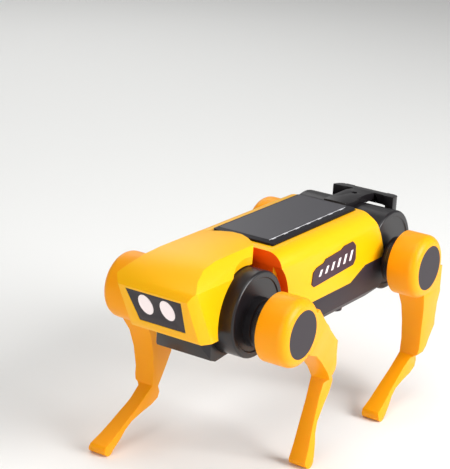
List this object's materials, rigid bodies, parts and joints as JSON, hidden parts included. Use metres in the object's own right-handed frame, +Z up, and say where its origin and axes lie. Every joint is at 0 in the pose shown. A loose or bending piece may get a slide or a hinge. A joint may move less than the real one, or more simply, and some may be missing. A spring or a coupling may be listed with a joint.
{
  "type": "solar robot dog",
  "caption": "Four-legged walking robot toy: solar panel on its back, wedge head, round hip housings, swinging bent legs and a tail loop.",
  "frame": {"origin": "on the ground, midway between the front and rear hip axes and on the middle plane", "axes": "+X forward towards the head, +Y to the dog's left, +Z up"},
  "size_m": [0.1648, 0.0782, 0.0834],
  "materials": {
    "yellow_shell": "gloss",
    "orange_leg": "gloss",
    "charcoal_shell": "satin",
    "black_plastic": "satin",
    "eye_white": "gloss",
    "solar_cell": "gloss",
    "cell_metal": "satin",
    "badge": "satin",
    "red_wire": "satin",
    "black_wire": "satin",
    "steel": "satin",
    "brass": "satin",
    "nylon": "satin",
    "white_plastic": "satin",
    "copper_winding": "satin"
  },
  "bodies": {
    "body": {"top_shell": "yellow_shell", "belly_shell": "charcoal_shell", "head_shell": "yellow_shell", "chin_block": "black_plastic", "face_plate": "charcoal_shell", "left_eye": "eye_white", "right_eye": "eye_white", "front_hip_housing": "black_plastic", "rear_hip_housing": "black_plastic", "front_left_hip_cover": "black_plastic", "front_right_hip_cover": "black_plastic", "rear_left_hip_cover": "black_plastic", "rear_right_hip_cover": "black_plastic", "front_left_hip_bush": "black_plastic", "front_right_hip_bush": "black_plastic", "rear_left_hip_bush": "black_plastic", "rear_right_hip_bush": "black_plastic", "tail_handle": "black_plastic", "solar_panel": "solar_cell", "cell_strips": "cell_metal", "positive_wire": "red_wire", "negative_wire": "black_wire", "left_badge": "badge", "right_badge": "badge", "body_screws": "steel", "gearbox_left_plate": "nylon", "gearbox_middle_plate": "nylon", "gearbox_right_plate": "nylon", "gearbox_posts": "steel", "gear_pins": "steel", "motor_can": "steel", "motor_end_cap": "white_plastic", "motor_terminals": "brass"},
    "front_left_leg_unit": {"front_left_leg": "orange_leg", "front_left_hip_gear": "nylon", "front_left_hub_cap": "charcoal_shell", "front_left_leg_screw": "steel"},
    "front_right_leg_unit": {"front_right_leg": "orange_leg", "front_right_hip_gear": "nylon", "front_right_hub_cap": "charcoal_shell", "front_right_leg_screw": "steel"},
    "rear_left_leg_unit": {"rear_left_leg": "orange_leg", "rear_left_hip_gear": "nylon", "rear_left_hub_cap": "charcoal_shell", "rear_left_leg_screw": "steel"},
    "rear_right_leg_unit": {"rear_right_leg": "orange_leg", "rear_right_hip_gear": "nylon", "rear_right_hub_cap": "charcoal_shell", "rear_right_leg_screw": "steel"},
    "left_rack": {"left_stride_rack": "orange_leg"},
    "right_rack": {"right_stride_rack": "orange_leg"},
    "motor_rotating": {"motor_shaft": "steel", "motor_rotor": "copper_winding", "motor_pinion": "brass"},
    "gear_one": {"first_gear": "nylon"},
    "gear_two": {"second_gear": "nylon"},
    "crank": {"crank_gear": "nylon", "crank_shaft": "steel", "left_crank_disc": "nylon", "right_crank_disc": "nylon"}
  },
  "joints": [
    {"name": "front_left_hip", "type": "hinge", "parent": "body", "child": "front_left_leg_unit", "pos_m": [0.0468, 0.033, 0.0593], "axis": [0, -1, 0], "range_deg": [-2.85, 41.15]},
    {"name": "rear_left_hip", "type": "hinge", "parent": "body", "child": "rear_left_leg_unit", "pos_m": [-0.0468, 0.033, 0.0593], "axis": [0, -1, 0], "range_deg": [-41.15, 2.85]},
    {"name": "front_right_hip", "type": "hinge", "parent": "body", "child": "front_right_leg_unit", "pos_m": [0.0468, -0.033, 0.0593], "axis": [0, -1, 0], "range_deg": [-41.15, 2.85]},
    {"name": "rear_right_hip", "type": "hinge", "parent": "body", "child": "rear_right_leg_unit", "pos_m": [-0.0468, -0.033, 0.0593], "axis": [0, -1, 0], "range_deg": [-2.85, 41.15]},
    {"name": "left_stride", "type": "slide", "parent": "body", "child": "left_rack", "axis": [1, 0, 0], "range_m": [-0.00032, 0.0046]},
    {"name": "right_stride", "type": "slide", "parent": "body", "child": "right_rack", "axis": [1, 0, 0], "range_m": [-0.0046, 0.00032]},
    {"name": "motor_spin", "type": "hinge", "parent": "body", "child": "motor_rotating", "pos_m": [-0.01274, 0, 0.064], "axis": [0, 1, 0], "continuous": true},
    {"name": "first_gear_spin", "type": "hinge", "parent": "body", "child": "gear_one", "pos_m": [-0.00216, 0, 0.064], "axis": [0, 1, 0], "continuous": true},
    {"name": "second_gear_spin", "type": "hinge", "parent": "body", "child": "gear_two", "pos_m": [0.00842, 0, 0.064], "axis": [0, 1, 0], "continuous": true},
    {"name": "crank_spin", "type": "hinge", "parent": "body", "child": "crank", "pos_m": [0.019, 0, 0.064], "axis": [0, 1, 0], "continuous": true}
  ],
  "couplings": [
    {"joint": "left_stride", "follows": "front_left_hip", "m_per_rad": 0.0064},
    {"joint": "right_stride", "follows": "front_left_hip", "m_per_rad": -0.0064},
    {"joint": "rear_left_hip", "follows": "front_left_hip", "ratio": -1},
    {"joint": "front_right_hip", "follows": "front_left_hip", "ratio": -1},
    {"joint": "rear_right_hip", "follows": "front_left_hip", "ratio": 1},
    {"joint": "first_gear_spin", "follows": "motor_spin", "ratio": -0.3125},
    {"joint": "second_gear_spin", "follows": "motor_spin", "ratio": 0.097656},
    {"joint": "crank_spin", "follows": "motor_spin", "ratio": -0.030518}
  ]
}
